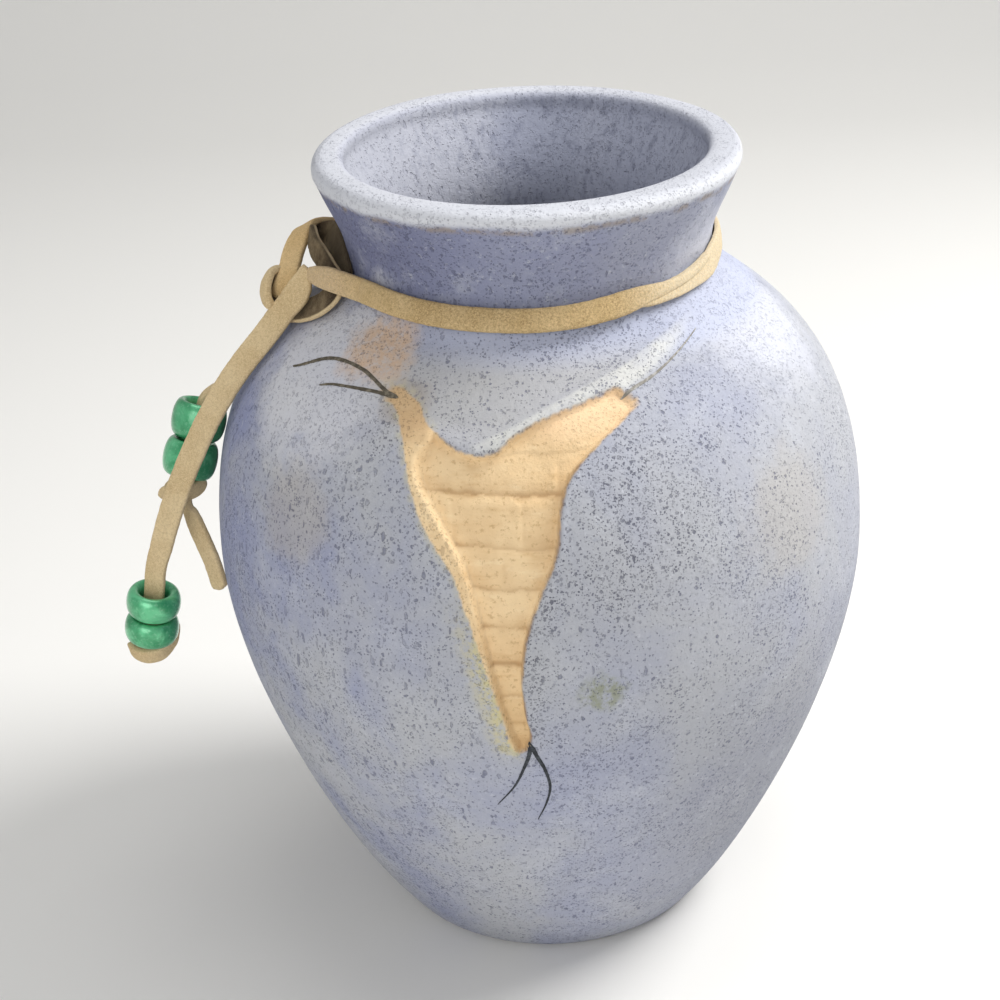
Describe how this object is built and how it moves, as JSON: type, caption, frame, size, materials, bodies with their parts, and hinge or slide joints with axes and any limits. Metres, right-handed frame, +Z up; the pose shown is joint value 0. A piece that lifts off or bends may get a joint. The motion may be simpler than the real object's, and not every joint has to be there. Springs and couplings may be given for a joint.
{
  "type": "pottery vase",
  "caption": "Wide-shouldered pottery vase with a flared neck, a carved broken-plaster patch, and a beaded suede lace tied round the neck.",
  "frame": {"origin": "middle of the foot, on the surface that the vase stands on", "axes": "+Z up through the mouth; -Y towards the front, where the carved patch is; the lace is tied at -X"},
  "size_m": [0.1227, 0.106, 0.1331],
  "materials": {
    "pottery": "matte periwinkle blue-grey with fine dark pits and a tan carved patch",
    "suede": "tan suede, napped",
    "green_bead": "pearl green, glossy"
  },
  "bodies": {
    "vase": {"vase_body": "pottery"},
    "lace": {"neck_lace": "suede", "lace_knot": "suede", "front_tail": "suede", "rear_tail": "suede", "front_end_knot": "suede", "rear_end_knot": "suede", "rear_lace_end": "suede"},
    "front_lower_bead": {"front_bead_lower": "green_bead"},
    "front_upper_bead": {"front_bead_upper": "green_bead"},
    "rear_lower_bead": {"rear_bead_lower": "green_bead"},
    "rear_upper_bead": {"rear_bead_upper": "green_bead"}
  },
  "joints": [
    {"name": "lace_turn", "type": "hinge", "parent": "vase", "child": "lace", "pos_m": [0, 0, 0.1152], "axis": [0, 0, 1], "continuous": true},
    {"name": "front_lower_bead_slide", "type": "slide", "parent": "lace", "child": "front_lower_bead", "axis": [0.1795, -0.0494, 0.9825], "range_m": [0, 0.0015]},
    {"name": "front_upper_bead_slide", "type": "slide", "parent": "front_lower_bead", "child": "front_upper_bead", "axis": [0.1795, -0.0494, 0.9825], "range_m": [0, 0.0015]},
    {"name": "rear_lower_bead_slide", "type": "slide", "parent": "lace", "child": "rear_lower_bead", "axis": [0.2655, 0.3638, 0.8928], "range_m": [0, 0.0008]},
    {"name": "rear_upper_bead_slide", "type": "slide", "parent": "rear_lower_bead", "child": "rear_upper_bead", "axis": [0.2655, 0.3638, 0.8928], "range_m": [0, 0.0008]}
  ]
}
